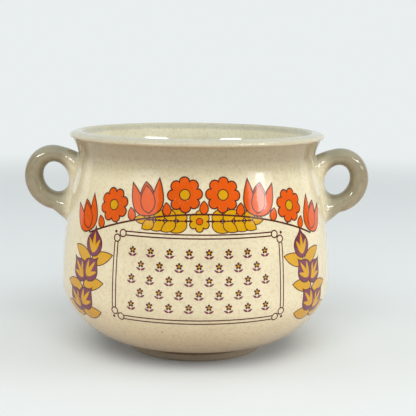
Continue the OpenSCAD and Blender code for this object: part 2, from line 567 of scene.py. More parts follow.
@dataclass(frozen=True)
class Glaze:
    """A glossy oatmeal glaze, faintly clouded, with a fine brown dust of iron.

    It has painted shade under the lip, is browner at the foot, and is dark brown on the turned edge.
    """

    name: str = "cream_glaze"
    cream: Colour = (0.685, 0.655, 0.475)
    cloud: Colour = (0.560, 0.510, 0.355)
    speck: Colour = (0.170, 0.100, 0.055)
    # neck is painted shade under the lip: the lip's shadow on the neck and upper wall
    neck: Colour = (0.275, 0.246, 0.164)
    rim: Colour = (0.505, 0.490, 0.375)
    dapple: Colour = (0.865, 0.835, 0.795)
    foot: Colour = (0.300, 0.225, 0.150)
    # Dark brown on the turned edge under the belly
    turned_edge_brown: Colour = (0.200, 0.125, 0.070)
    clouds: Grain = Grain(size=17, detail=3, roughness=0.6, low=0.40, high=0.75, strength=0.40)
    mottle: Grain = Grain(size=1.2, detail=3, roughness=0.75, shift=0.02, low=0.44, high=0.70)
    dust: Specks = Specks(cell=1.0, radius_share=0.24, filled_share=0.20, strength=0.34)
    spots: Specks = Specks(cell=5.5, radius_share=0.085, filled_share=0.22, strength=0.75, shift=0.013)
    foot_low: float = 4.5
    foot_high: float = 7.4
    foot_share: float = 0.80
    edge_near: float = 0.25
    edge_far: float = 0.85
    edge_share: float = 0.75
    inner_r: float = 51.6
    outer_r: float = 52.6
    # The painted shade under the lip fades in from neck_low up to neck_high
    neck_low: float = 78.8
    neck_high: float = 90.2
    neck_shade_share: float = 0.85
    lip_low: float = 94.6
    lip_high: float = 95.8
    lip_share: float = 0.9
    sheen: Grain = Grain(size=9)
    rough_least: float = 0.045
    rough_span: float = 0.06
    ripples: Grain = Grain(size=6, roughness=0.4, shift=0.05)
    ripple_depth: float = 0.03
    ior: float = 1.5

    def body(self, g: Graph) -> Wire:
        """Gives the glaze's colour.

        Args:
            g: The graph of its material.

        Returns:
            The colour.
        """
        x, y, z = g.axis("X"), g.axis("Y"), g.axis("Z")
        out = (x * x + y * y).root()
        lip = z.ramp(self.lip_low, self.lip_high, MM)
        outside = out.ramp(self.inner_r, self.outer_r, MM)
        # Painted shade under the lip, on the outside only
        neck = outside * z.ramp(self.neck_low, self.neck_high, MM) * (1 - lip)
        foot = 1 - z.ramp(self.foot_low, self.foot_high, MM)
        off, fall = out - POT.turned_r * MM, z - POT.turned_h * MM
        edge = 1 - (off * off + fall * fall).root().ramp(self.edge_near, self.edge_far, MM)
        tint = g.blend(self.clouds.mask(g), self.cream, self.cloud)
        # Paints the shade under the lip
        tint = g.blend(neck * self.neck_shade_share, tint, self.neck)
        tint = g.blend(foot * self.foot_share, tint, self.foot)
        tint = g.blend(edge * self.edge_share, tint, self.turned_edge_brown)
        tint = g.blend(lip * self.lip_share, tint, self.rim)
        tint = g.blend(self.mottle.mask(g), tint, self.dapple, "MULTIPLY")
        tint = g.blend(self.dust.mask(g), tint, self.speck)
        return g.blend(self.spots.mask(g), tint, self.speck)

    def coat(self, g: Graph, tint: Wire) -> bpy.types.Material:
        """Gives a colour the glaze's gloss and its soft ripples.

        Args:
            g: The graph of the material.
            tint: The colour.

        Returns:
            The material.
        """
        rough = self.sheen.noise(g) * self.rough_span + self.rough_least
        ripples = g.bump(self.ripples.noise(g), self.ripple_depth)
        return g.surface(Base_Color=tint, Roughness=rough, Normal=ripples, IOR=self.ior)

    @cache
    def material(self) -> bpy.types.Material:
        """Makes the material once."""
        g = Graph(bpy.data.materials.new(self.name))
        return self.coat(g, self.body(g))


@dataclass(frozen=True)
class ThinGlazeAndShade(Glaze):
    """The same glaze on a handle, darker and greyer off the wall: partly thinner glaze, partly painted shade.

    Painted shade in brown lies round the finger hole and on the handle's far end, where the glaze also breaks
    thin.
    """

    name: str = "thin_glaze_and_shade"
    # thin: darker, greyer glaze away from the wall, partly thinner glaze and partly painted shade of the
    # handle
    thin: Colour = (0.278, 0.260, 0.180)
    # bare: painted shade in brown round the finger hole and on the far end, where the glaze also breaks thin
    bare: Colour = (0.150, 0.110, 0.062)
    edge_shade_share: float = 0.58
    wear: Grain = Grain(size=5.0, detail=3, roughness=0.6, shift=0.03, low=0.30, high=0.70, strength=0.14)
    wall_x: float = 56.0
    free_x: float = 62.0
    # Where the painted shade on the far end starts and where it is full
    rim_x: float = 69.0
    far_x: float = 79.0
    # Middle and reach of the painted shade round the finger hole
    ring_x: float = 62.7
    ring_z: float = 76.2
    ring_near: float = 5.6
    ring_far: float = 10.5

    def body(self, g: Graph) -> Wire:
        """Gives the glaze's colour.

        Args:
            g: The graph of its material.

        Returns:
            The colour.
        """
        x, z = g.axis("X"), g.axis("Z")
        out = (x * x).root()
        side, rise = out - self.ring_x * MM, z - self.ring_z * MM
        # Painted shade round the finger hole, and below it on the handle's far end
        inner = 1 - (side * side + rise * rise).root().ramp(self.ring_near, self.ring_far, MM)
        edges = inner.at_least(out.ramp(self.rim_x, self.far_x, MM))
        away = out.ramp(self.wall_x, self.free_x, MM) * (self.wear.mask(g) + (1 - self.wear.strength))
        # Darker and greyer away from the wall: thinner glaze and painted shade
        tint = g.blend(away, super().body(g), self.thin)
        # Painted shade in brown at the hole and the far end
        return g.blend(edges * away * self.edge_shade_share, tint, self.bare)


@dataclass(frozen=True)
class Clay:
    """Bare fired clay on the ring that stands on the table."""

    name: str = "bare_clay"
    pale: Colour = (0.50, 0.39, 0.25)
    dark: Colour = (0.30, 0.21, 0.12)
    grit: Colour = (0.10, 0.06, 0.03)
    grain: Grain = Grain(size=1.4, detail=4, roughness=0.65, low=0.35, high=0.7)
    grains: Specks = Specks(cell=2.2, radius_share=0.14, filled_share=0.3, strength=0.6)
    sheen: Grain = Grain(size=2.0)
    rough_least: float = 0.7
    rough_span: float = 0.2
    depth: float = 0.12

    @cache
    def material(self) -> bpy.types.Material:
        """Makes the material once.

        Returns:
            The material.
        """
        g = Graph(bpy.data.materials.new(self.name))
        tint = g.blend(self.grain.mask(g), self.pale, self.dark)
        tint = g.blend(self.grains.mask(g), tint, self.grit)
        rough = self.sheen.noise(g) * self.rough_span + self.rough_least
        return g.surface(Base_Color=tint, Roughness=rough, Normal=g.bump(self.grain.noise(g), self.depth))


@dataclass(frozen=True)
class InkWear:
    """How the fired inks vary: darker in broad clouds, and thin in small spots where the glaze shows."""

    clouds: Grain = Grain(size=8, low=0.3, high=0.7, strength=0.35)
    cloud_share: float = 0.76
    spots: Grain = Grain(size=1.3, detail=4, roughness=0.7, low=0.54, high=0.82, strength=0.14)


class Ink(Enum):
    """The print's colours, which lie under the same glaze."""

    BROWN = (0.085, 0.020, 0.010)
    ORANGE = (0.640, 0.091, 0.002)
    GOLD = (0.585, 0.322, 0.002)
    PURPLE = (0.168, 0.034, 0.070)
    LINE = (0.092, 0.022, 0.014)

    @property
    def slot(self) -> int:
        """Gives the ink's place among a piece's materials."""
        return list(Ink).index(self)

    @cache
    def material(self) -> bpy.types.Material:
        """Makes the material once.

        Returns:
            The material.
        """
        g, glaze, wear = Graph(bpy.data.materials.new(f"ink_{self.name.lower()}")), Glaze(), InkWear()
        dark = tuple(wear.cloud_share * v for v in self.value)
        tint = g.blend(wear.clouds.mask(g), self.value, dark)
        return glaze.coat(g, g.blend(wear.spots.mask(g), tint, glaze.cream))


# Pieces

def face_outwards(bm: bmesh.types.BMesh) -> None:
    """Turns the faces of a closed mesh outwards.

    Args:
        bm: The mesh.
    """
    bmesh.ops.recalc_face_normals(bm, faces=bm.faces[:])
    if bm.calc_volume(signed=True) < 0:
        bmesh.ops.reverse_faces(bm, faces=bm.faces[:])


def add_object(name: str, data: bpy.types.ID) -> bpy.types.Object:
    """Adds an object to the scene.

    Args:
        name: Its name.
        data: Its mesh, light or camera.

    Returns:
        The object.
    """
    made = bpy.data.objects.new(name, data)
    bpy.context.scene.collection.objects.link(made)
    return made


def make_object(
    name: str, bm: bmesh.types.BMesh, materials: Sequence[bpy.types.Material]
) -> bpy.types.Object:
    """Makes a mesh object.

    Args:
        name: Its name.
        bm: Its mesh in metres, which is freed.
        materials: Its materials in slot order.

    Returns:
        The object.
    """
    mesh = bpy.data.meshes.new(name)
    bm.to_mesh(mesh)
    bm.free()
    for material in materials:
        mesh.materials.append(material)
    return add_object(name, mesh)


def make_piece(
    name: str, bm: bmesh.types.BMesh, materials: Sequence[bpy.types.Material]
) -> bpy.types.Object:
    """Makes a smooth piece that rides on the object's one body.

    Args:
        name: Name of the piece.
        bm: Its mesh in metres, which is freed.
        materials: Its materials in slot order.

    Returns:
        The object.
    """
    for face in bm.faces:
        face.smooth = True
    piece = make_object(name, bm, materials)
    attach(piece, "root")
    return piece


@dataclass
class Pot:
    """The turned pot: foot ring, belly, neck, lip, inside and floor.

    What stands on the table is bare clay.
    """

    shape: PotShape = POT
    sides: int = 240
    bare_h: float = 0.12
    same: float = 0.001
    sliver: float = 0.0005

    def build(self) -> bpy.types.Object:
        """Spins the section and dresses it.

        Returns:
            The pot.
        """
        bm = bmesh.new()
        section = self.shape.underside() + self.shape.outside() + self.shape.inside()
        verts = [bm.verts.new(Vector((p.x * Wall.FIT, 0, p.y)) * MM) for p in section]
        geom = verts + [bm.edges.new(pair) for pair in zip(verts, verts[1:])]
        bmesh.ops.spin(bm, geom=geom, cent=ORIGIN, axis=UP, angle=FULL_TURN, steps=self.sides, use_merge=True)
        bmesh.ops.remove_doubles(bm, verts=bm.verts[:], dist=self.same * MM)
        bmesh.ops.dissolve_degenerate(bm, edges=bm.edges[:], dist=self.sliver * MM)
        face_outwards(bm)
        for face in bm.faces:
            face.material_index = int(face.calc_center_median().z < self.bare_h * MM)
        piece = make_piece("pot_body", bm, [Glaze().material(), Clay().material()])
        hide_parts("pot")
        return piece


class Side(Enum):
    """A side of the pot, as the sign of X."""

    LEFT = -1
    RIGHT = 1


@dataclass
class EarHandle:
    """An ear handle: a loop of clay round a leaning oval hole, luted to the wall with soft roots.

    Its shape is worked out on the +X side, and a direction a goes round the hole from +X towards +Z.
    """

    side: Side
    drop: float = 21.8
    hole_w: float = 11.2
    hole_h: float = 13.8
    hole_lean: float = math.radians(22)
    thickness: float = 8.0
    depth: float = 10.0
    web_t: float = 3.2
    lower_root: float = 9.0
    upper_root: float = 2.4
    side_root: float = 2.8
    root_reach: float = 8.0
    root_power: float = 1.6
    heavy_share: float = 0.07
    heavy_angle: float = math.radians(-40)
    fillet: float = 1.3
    buried: float = 1.6
    steps: int = 168
    sides: int = 56

    def _middle(self) -> Vector:
        """Gives the middle of the finger hole."""
        z = POT.height - self.drop
        return Vector((WALL.radius(z) + self.web_t + self.hole_w / 2, 0, z))

    def _hole_reach(self, a: float) -> float:
        """Finds the hole's edge.

        Args:
            a: Direction round the hole.

        Returns:
            The distance from its middle to its edge.
        """
        b = a + self.hole_lean
        w, h = self.hole_w / 2, self.hole_h / 2
        return w * h / math.hypot(h * math.cos(b), w * math.sin(b))

    def _root_share(self, x: float, z: float) -> float:
        """Gives the share of the root's spread at a point, from 0 away from the wall to 1 on it."""
        gap = x - WALL.radius(z)
        return min(1.0, max(0.0, 1 - gap / self.root_reach)) ** self.root_power

    def _root_length(self, a: float) -> float:
        """Gives how far the root runs along the wall in a direction."""
        down = (1 - math.sin(a)) / 2
        return self.upper_root + (self.lower_root - self.upper_root) * down * down * (3 - 2 * down)

    def _point(self, a: float, s: float) -> Vector:
        """Gives a point of the loop.

        Args:
            a: Direction round the hole.
            s: Angle round the section, 0 at the hole.

        Returns:
            The point.
        """
        middle, near = self._middle(), self._hole_reach(a)
        plain = near + self.thickness * (1 + self.heavy_share * math.cos(a - self.heavy_angle))
        share = self._root_share(middle.x + plain * math.cos(a), middle.z + plain * math.sin(a))
        far = plain + self._root_length(a) * share
        reach = (near + far) / 2 - (far - near) / 2 * math.cos(s)
        x, z = middle.x + reach * math.cos(a), middle.z + reach * math.sin(a)
        half = self.depth / 2 + self.side_root * self._root_share(x, z)
        return Vector((x, half * math.sin(s), z))

    def _seat(self, point: Vector, centre: Vector) -> Vector:
        """Spreads a point near the wall into a soft fillet, and keeps one behind the wall just in the clay.

        Args:
            point: The point.
            centre: Middle of its section.

        Returns:
            The point.
        """
        out = Vector((point.x, point.y, 0)).normalized()
        gap = math.hypot(point.x, point.y) - WALL.radius(point.z)
        if gap >= self.fillet:
            return point
        spread = self.fillet - math.sqrt(self.fillet ** 2 - (self.fillet - max(gap, 0.0)) ** 2)
        along = point - centre
        along -= along.dot(out) * out
        if along.length:
            point = point + along.normalized() * spread
        gap = math.hypot(point.x, point.y) - WALL.radius(point.z)
        if gap < -self.buried:
            out = Vector((point.x, point.y, 0)).normalized()
            point = point - (gap + self.buried) * out
        return point

    def build(self) -> bpy.types.Object:
        """Spins a ring, bends it to the handle's form and dresses it.

        Returns:
            The handle.
        """
        bm = bmesh.new()
        middle, tube = self._middle(), self.thickness / 2
        ring = self.hole_w / 2 + tube
        start = Matrix.Translation(middle + Vector((ring, 0, 0)))
        made = bmesh.ops.create_circle(bm, segments=self.sides, radius=tube, matrix=start)["verts"]
        geom = made + list({edge for vert in made for edge in vert.link_edges})
        turn = {"cent": middle, "axis": (0, 1, 0), "angle": FULL_TURN, "steps": self.steps}
        bmesh.ops.spin(bm, geom=geom, use_merge=True, **turn)
        for vert in bm.verts:
            local = vert.co - middle
            a, s = math.atan2(local.z, local.x), math.atan2(local.y, ring - math.hypot(local.x, local.z))
            centre = (self._point(a, 0.0) + self._point(a, math.pi)) / 2
            point = self._seat(self._point(a, s), centre)
            vert.co = Vector((point.x * Wall.FIT * self.side.value, point.y * Wall.FIT, point.z)) * MM
        face_outwards(bm)
        name = self.side.name.lower()
        piece = make_piece(f"ear_{name}", bm, [ThinGlazeAndShade().material()])
        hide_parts(f"handle_{name}")
        return piece


# Shapes of the print, each upright over its stalk end or round its middle

# For each curve of a shape's right side: its two handles and its end, as shares of the half width and height
Shares = tuple[tuple[tuple[float, float], ...], ...]
LEAF_SHARES: Shares = (((1.50, 0.18), (1.10, 0.72), (0, 1)),)
TULIP_SHARES: Shares = (
    ((1.15, 0), (1.10, 0.52), (0.90, 1)),
    ((0.70, 0.86), (0.52, 0.74), (0.44, 0.62)),
    ((0.38, 0.78), (0.16, 0.90), (0, 0.96)),
)
BUD_SHARES: Shares = (((0.55, 0), (1, 0.189), (1, 0.42)), ((1, 0.72), (0.10, 0.74), (0, 1)))
TULIP_STEPS, BUD_STEPS = (14, 7, 7), (8, 8)


def upright(shares: Shares, width: float, height: float, steps: Sequence[int]) -> Outline:
    """Gives a closed shape that stands on its stalk end.

    Args:
        shares: The curves of its right side.
        width: Its width.
        height: Its height.
        steps: Steps along each curve.

    Returns:
        The outline.
    """
    half = [Vector((0, 0))]
    for row, count in zip(shares, steps):
        first, second, end = (Vector((width / 2 * x, height * y)) for x, y in row)
        half += Curve(half[-1], first, second, end).points(count)
    return half + [Vector((-p.x, p.y)) for p in reversed(half[1:-1])]


def leaf(height: float, width: float, steps: int = 9) -> Outline:
    """Gives a pointed leaf."""
    return upright(LEAF_SHARES, width, height, (steps,))


def tulip(width: float, height: float) -> Outline:
    """Gives a tulip with three tips."""
    return upright(TULIP_SHARES, width, height, TULIP_STEPS)


def bud(width: float, height: float) -> Outline:
    """Gives a round bud drawn out to a short point."""
    return upright(BUD_SHARES, width, height, BUD_STEPS)


def blossom(petals: int, outer: float, inner: float, steps: int = 10) -> Outline:
    """Gives a round flower with full petals.

    Args:
        petals: Number of petals.
        outer: Radius at the middle of a petal.
        inner: Radius between two petals.
        steps: Steps along one petal.

    Returns:
        The outline.
    """
    fullness = 0.6
    count, outline = petals * steps, []
    for i in range(count):
        wave = abs(math.cos(petals * math.pi * i / count)) ** fullness
        outline.append(ray(FULL_TURN * i / count, inner + (outer - inner) * wave))
    return outline


def ray(angle: float, radius: float) -> Vector:
    """Gives the point at an angle from straight up and a distance."""
    return Vector((radius * math.sin(angle), radius * math.cos(angle)))


def disc(radius: float, sides: int = 16) -> Outline:
    """Gives a round dot."""
    return [ray(FULL_TURN * i / sides, radius) for i in range(sides)]


# Print

@dataclass(frozen=True)
class Spot:
    """A place on the wall for a flat shape: degrees from the front, height, and degrees of its lean."""

    angle: float
    z: float
    turn: float = 0.0
    flip: bool = False

    def to_wall(self, p: Vector) -> tuple[float, float]:
        """Turns a flat point into a place on the wall.

        Args:
            p: The point, from the shape's own origin.

        Returns:
            The angle from the front in radians, and the height.
        """
        x, y = (-p.x if self.flip else p.x), p.y
        c, s = math.cos(math.radians(self.turn)), math.sin(math.radians(self.turn))
        along, up = x * c + y * s, y * c - x * s
        return math.radians(self.angle) + along / WALL.radius(self.z), self.z + up


class Film(ABC):
    """A piece of the print: flat inked shapes, cut to a fine grid, wrapped on the wall and given a thickness.

    A shape at level 0 stands RISE out of the glaze, and each level adds LEVEL. Its back stands FOOT in it.
    """

    name = "print"
    whole: bmesh.types.BMesh
    RISE = 0.020
    LEVEL = 0.012
    FOOT = 0.03
    GRID = 1.6
    # A corner sharper than this share isn't drawn out any further
    MITRE = 0.45
    CUT = 1e-5
    SAME_LINE = 1e-6
    SAME_POINT = 1e-9

    @abstractmethod
    def draw(self) -> None:
        """Prints the piece's shapes."""

    def build(self) -> bpy.types.Object:
        """Prints the piece and dresses it.

        Returns:
            The piece.
        """
        self.whole = bmesh.new()
        self.draw()
        return make_piece(self.name, self.whole, [ink.material() for ink in Ink])

    def add(self, outline: Outline, ink: Ink, spot: Spot, level: int = 0, line_w: float = 0.0) -> None:
        """Prints one filled shape.

        Args:
            outline: Its closed outline.
            ink: Its ink.
            spot: Its place on the wall.
            level: How many shapes it lies over.
            line_w: Width of the brown line along its edge, or 0 for none.
        """
        bm = bmesh.new()
        face = bm.faces.new([bm.verts.new((p.x, p.y, 0)) for p in outline])
        face.material_index = ink.slot
        face.normal_update()
        bmesh.ops.triangulate(bm, faces=[face])
        self._wrap(bm, spot, level)
        if line_w:
            self.line(outline, line_w, Ink.BROWN, spot, level + 1, True)

    def line(
        self, path: Outline, width: float, ink: Ink, spot: Spot, level: int = 0, closed: bool = False
    ) -> None:
        """Prints a line.

        Args:
            path: Its middle line.
            width: Its width.
            ink: Its ink.
            spot: Its place on the wall.
            level: How many shapes it lies over.
            closed: Whether it ends where it starts.
        """
        bm = bmesh.new()
        verts = [bm.verts.new((p.x, p.y, 0)) for p in path]
        edges = [bm.edges.new(pair) for pair in zip(verts, verts[1:] + verts[:1] * closed)]
        bmesh.ops.extrude_edge_only(bm, edges=edges)
        for i, vert in enumerate(verts):
            step = self._sideways(path, i, closed).to_3d() * (width / 2)
            ends = [edge.other_vert(vert) for edge in vert.link_edges]
            twin = next(end for end in ends if (end.co - vert.co).length < self.SAME_POINT)
            vert.co += step
            twin.co -= step
        for face in bm.faces:
            face.material_index = ink.slot
        self._wrap(bm, spot, level)

    def _sideways(self, path: Outline, i: int, closed: bool) -> Vector:
        """Gives the way from a path's point to the side of a line drawn on it.

        Args:
            path: The path.
            i: Number of the point.
            closed: Whether the path is closed.

        Returns:
            The way out for a line of half width 1, longer at a corner so that the line keeps its width.
        """
        last = len(path) - 1
        before = path[i - 1] if closed or i else path[0] * 2 - path[1]
        after = path[(i + 1) % len(path)] if closed or i < last else path[last] * 2 - path[last - 1]
        back, ahead = (path[i] - before).normalized(), (after - path[i]).normalized()
        run = back + ahead
        if run.length < self.SAME_LINE:
            run = ahead.orthogonal()
        side = Vector((-run.y, run.x)).normalized()
        return side / max(self.MITRE, side.dot(Vector((-back.y, back.x))))

    def _wrap(self, bm: bmesh.types.BMesh, spot: Spot, level: int) -> None:
        """Cuts a flat shape, lays it on the wall, closes it behind and adds it to the piece.

        Args:
            bm: The flat shape, which is freed.
            spot: Its place on the wall.
            level: How many shapes it lies over.
        """
        for axis in (Vector((1, 0, 0)), Vector((0, 1, 0))):
            reach = [vert.co.dot(axis) for vert in bm.verts]
            for i in range(math.floor(min(reach) / self.GRID) + 1, math.ceil(max(reach) / self.GRID)):
                geom = bm.verts[:] + bm.edges[:] + bm.faces[:]
                place = axis * (i * self.GRID)
                bmesh.ops.bisect_plane(bm, geom=geom, dist=self.CUT, plane_co=place, plane_no=axis)
        rise = self.RISE + level * self.LEVEL
        for vert in bm.verts:
            angle, z = spot.to_wall(vert.co)
            vert.co = WALL.point(angle, z, rise)
        self._thicken(bm, rise + self.FOOT)
        shape = bpy.data.meshes.new("shape")
        bm.to_mesh(shape)
        bm.free()
        self.whole.from_mesh(shape)
        bpy.data.meshes.remove(shape)

    def _thicken(self, bm: bmesh.types.BMesh, thickness: float) -> None:
        """Closes a wrapped shape with a back and sides that stand in the wall.

        Args:
            bm: The shape.
            thickness: Distance to its back.
        """
        rim = [edge for edge in bm.edges if edge.is_boundary]
        made = bmesh.ops.extrude_face_region(bm, geom=bm.faces[:] + bm.edges[:] + bm.verts[:])["geom"]
        for vert in [g for g in made if isinstance(g, bmesh.types.BMVert)]:
            out = Vector((vert.co.x, vert.co.y, 0)).normalized()
            vert.co -= out * (thickness * MM)
        for edge in rim:
            edge.smooth = False
        face_outwards(bm)


@dataclass
class Garland(Film):
    """The arch of bold orange flowers high on the front, on a thin stem with small buds."""

    name = "print_garland"
    centre: float = 3.4
    step: float = 15.8
    size: float = 13.9
    crown_z: float = 76.5
    fall: float = 0.0038
    flowers: int = 8
    tulips: tuple[int, ...] = (0, 2, 5, 7)
    level: int = 5
    stem_drop: float = 7.8
    stem_w: float = 0.7
    stem_steps: int = 36
    stalk_h: float = 2.5
    bud_h: float = 5.2
    bud_w: float = 3.5
    bud_line_w: float = 0.42
    line_w: float = 0.5
    petal_line_w: float = 0.45
    eye_line_w: float = 0.4
    tulip_w_share: float = 0.98
    petal_h_share: float = 0.80
    petal_w_share: float = 0.46
    petal_lift_share: float = 0.07
    petals: int = 8
    notch_share: float = 0.385
    eye_share: float = 0.15
    eye_sides: int = 20

    def spot(self, angle: float, up: float) -> Spot:
        """Gives a place over the arch's middle line.

        Args:
            angle: Degrees from the arch's centre.
            up: Distance out from the line.

        Returns:
            The place, turned with the arch.
        """
        z = self.crown_z - self.fall * angle * angle
        lean = math.atan(2 * self.fall * angle / math.radians(POT.neck_r))
        shift = math.degrees(up * math.sin(lean) / WALL.radius(z))
        return Spot(self.centre + angle + shift, z + up * math.cos(lean), math.degrees(lean))

    def draw(self) -> None:
        """Prints the stem, then tulips and round blossoms, with a bud between each two."""
        half = (self.flowers - 1) / 2
        self._stem(half * self.step)
        for i in range(self.flowers):
            angle = (i - half) * self.step
            stalk, foot = [Vector((0, 0)), Vector((0, self.stalk_h))], self.spot(angle, -self.stem_drop)
            self.line(stalk, self.stem_w, Ink.BROWN, foot, self.level)
            flower = self._tulip if i in self.tulips else self._blossom
            flower(angle)
            if i:
                between = self.spot(angle - self.step / 2, -self.stem_drop)
                self.add(leaf(self.bud_h, self.bud_w), Ink.ORANGE, between, self.level + 1, self.bud_line_w)

    def _stem(self, reach: float) -> None:
        """Prints the stem under the whole arch.

        Args:
            reach: Degrees that it reaches to each side.
        """
        home, path = Spot(self.centre, self.crown_z), []
        for i in range(-self.stem_steps, self.stem_steps + 1):
            at = self.spot(reach * i / self.stem_steps, -self.stem_drop)
            path.append(Vector((math.radians(at.angle - home.angle) * WALL.radius(home.z), at.z - home.z)))
        self.line(path, self.stem_w, Ink.BROWN, home, self.level)

    def _tulip(self, angle: float) -> None:
        """Prints one tulip with a petal in front.

        Args:
            angle: Degrees from the arch's centre.
        """
        foot = self.spot(angle, -self.size / 2)
        flower = tulip(self.size * self.tulip_w_share, self.size)
        self.add(flower, Ink.ORANGE, foot, self.level + 1, self.line_w)
        lift = Vector((0, self.size * self.petal_lift_share))
        petal = [p + lift for p in leaf(self.size * self.petal_h_share, self.size * self.petal_w_share)]
        self.line(petal, self.petal_line_w, Ink.BROWN, foot, self.level + 3, True)

    def _blossom(self, angle: float) -> None:
        """Prints one round blossom with a golden eye.

        Args:
            angle: Degrees from the arch's centre.
        """
        spot = self.spot(angle, 0)
        flower = blossom(self.petals, self.size / 2, self.size * self.notch_share)
        self.add(flower, Ink.ORANGE, spot, self.level + 1, self.line_w)
        eye = disc(self.size * self.eye_share, self.eye_sides)
        self.add(eye, Ink.GOLD, spot, self.level + 3, self.eye_line_w)


@dataclass
class LeafSpray(Film):
    """Two sprays of full golden leaves that meet in a flower over the frame's top."""

    name = "print_leaves"
    centre: float = 1.6
    z: float = 66.0
    reach: float = 20.5
    stem_w: float = 0.7
    stem_steps: int = 12
    pairs: int = 4
    first: float = 5.0
    pitch: float = 4.5
    lean: float = 32.0
    lift: float = 0.6
    leaf_h: float = 7.2
    leaf_w: float = 4.3
    shrink: float = 0.5
    tip_h: float = 6.4
    tip_w: float = 3.8
    line_w: float = 0.38
    petals: int = 6
    flower_r: float = 4.2
    notch_r: float = 2.9
    flower_line_w: float = 0.42
    eye_r: float = 1.3
    eye_line_w: float = 0.32

    def draw(self) -> None:
        """Prints both sprays and the flower where they meet."""
        for side in Side:
            self._spray(side)
        middle = Spot(self.centre, self.z)
        flower = blossom(self.petals, self.flower_r, self.notch_r)
        self.add(flower, Ink.GOLD, middle, 4, self.flower_line_w)
        self.add(disc(self.eye_r), Ink.ORANGE, middle, 6, self.eye_line_w)

    def _spray(self, side: Side) -> None:
        """Prints a stem, its pairs of leaves and the leaf at its tip.

        Args:
            side: The side that it reaches to.
        """
        flip, sign, level_turn = side is Side.LEFT, side.value, 90
        path = [Vector((self.reach * i / self.stem_steps, 0)) for i in range(self.stem_steps + 1)]
        self.line(path, self.stem_w, Ink.BROWN, Spot(self.centre, self.z, 0, flip))
        for i in range(self.pairs):
            angle = self.centre + sign * math.degrees((self.first + i * self.pitch) / WALL.radius(self.z))
            shape, level = leaf(self.leaf_h - self.shrink * i, self.leaf_w), 1 + 2 * (i % 2)
            for up in (1, -1):
                at = Spot(angle, self.z + up * self.lift, sign * (level_turn - up * self.lean), flip)
                self.add(shape, Ink.GOLD, at, level, self.line_w)
        tip = self.centre + sign * math.degrees(self.reach / WALL.radius(self.z))
        at = Spot(tip, self.z, sign * level_turn, flip)
        self.add(leaf(self.tip_h, self.tip_w), Ink.GOLD, at, 1, self.line_w)


@dataclass
class Sprig(Film):
    """A standing sprig of large purple buds and golden leaves beside the frame.

    A leaf is a share of the stem's height and a lean in degrees, and a bud also has its level.
    """

    side: Side
    centre: float = 1.6
    foot_angle: float = 54.5
    top_angle: float = 45.0
    foot_z: float = 21.5
    top_z: float = 59.0
    sway: float = 1.6
    sway_turns: float = 0.85
    stem_w: float = 0.8
    stem_steps: int = 30
    stem_end: int = 26
    line_w: float = 0.4
    leaf_h: float = 13.0
    leaf_w: float = 5.6
    leaves: tuple[tuple[float, float], ...] = (
        (0.02, 74), (0.04, -80), (0.33, 84), (0.38, -80), (0.66, -72), (0.66, 66)
    )
    bud_w: float = 9.6
    bud_h: float = 12.4
    buds: tuple[tuple[float, float, int], ...] = (
        (0.08, 42, 3), (0.12, -42, 5), (0.43, 42, 3), (0.46, -40, 5), (0.72, -2, 7)
    )
    stripe_lean: float = 30.0
    stripe_lift: float = 1.4
    stripe_w_share: float = 0.20
    stripe_steps: int = 6
    middle_h_share: float = 0.70
    outer_h_share: float = 0.56

    @property
    def name(self) -> str:
        """Names the piece after its side."""
        return f"print_sprig_{self.side.name.lower()}"

    def _spot(self, share: float, lean: float) -> Spot:
        """Gives a place on the stem.

        Args:
            share: Share of the stem's height.
            lean: Degrees that what grows there leans away from the frame.

        Returns:
            The place.
        """
        sign, z = self.side.value, self.foot_z + (self.top_z - self.foot_z) * share
        swing = math.degrees(self.sway * math.sin(share * FULL_TURN * self.sway_turns) / WALL.radius(z))
        angle = self.foot_angle + (self.top_angle - self.foot_angle) * share + swing
        return Spot(self.centre + sign * angle, z, sign * lean, self.side is Side.LEFT)

    def draw(self) -> None:
        """Prints the stem, its leaves and its buds."""
        foot, path = self._spot(0, 0), []
        for i in range(self.stem_end + 1):
            at = self._spot(i / self.stem_steps, 0)
            along = math.radians(at.angle - foot.angle) * WALL.radius(foot.z) * self.side.value
            path.append(Vector((along, at.z - foot.z)))
        self.line(path, self.stem_w, Ink.PURPLE, foot)
        for share, lean in self.leaves:
            self.add(leaf(self.leaf_h, self.leaf_w), Ink.GOLD, self._spot(share, lean), 1, self.line_w)
        for share, lean, level in self.buds:
            self._bud(self._spot(share, lean), level)

    def _bud(self, at: Spot, level: int) -> None:
        """Prints one purple bud with golden stripes.

        Args:
            at: Its stalk end.
            level: How many shapes it lies over.
        """
        self.add(bud(self.bud_w, self.bud_h), Ink.PURPLE, at, level, self.line_w)
        for slant in (-self.stripe_lean, 0, self.stripe_lean):
            share = self.outer_h_share if slant else self.middle_h_share
            stripe = leaf(self.bud_h * share, self.bud_w * self.stripe_w_share, self.stripe_steps)
            turn, lift = Matrix.Rotation(math.radians(slant), 2), Vector((0, self.stripe_lift))
            self.add([turn @ p + lift for p in stripe], Ink.GOLD, at, level + (2 if slant else 3))


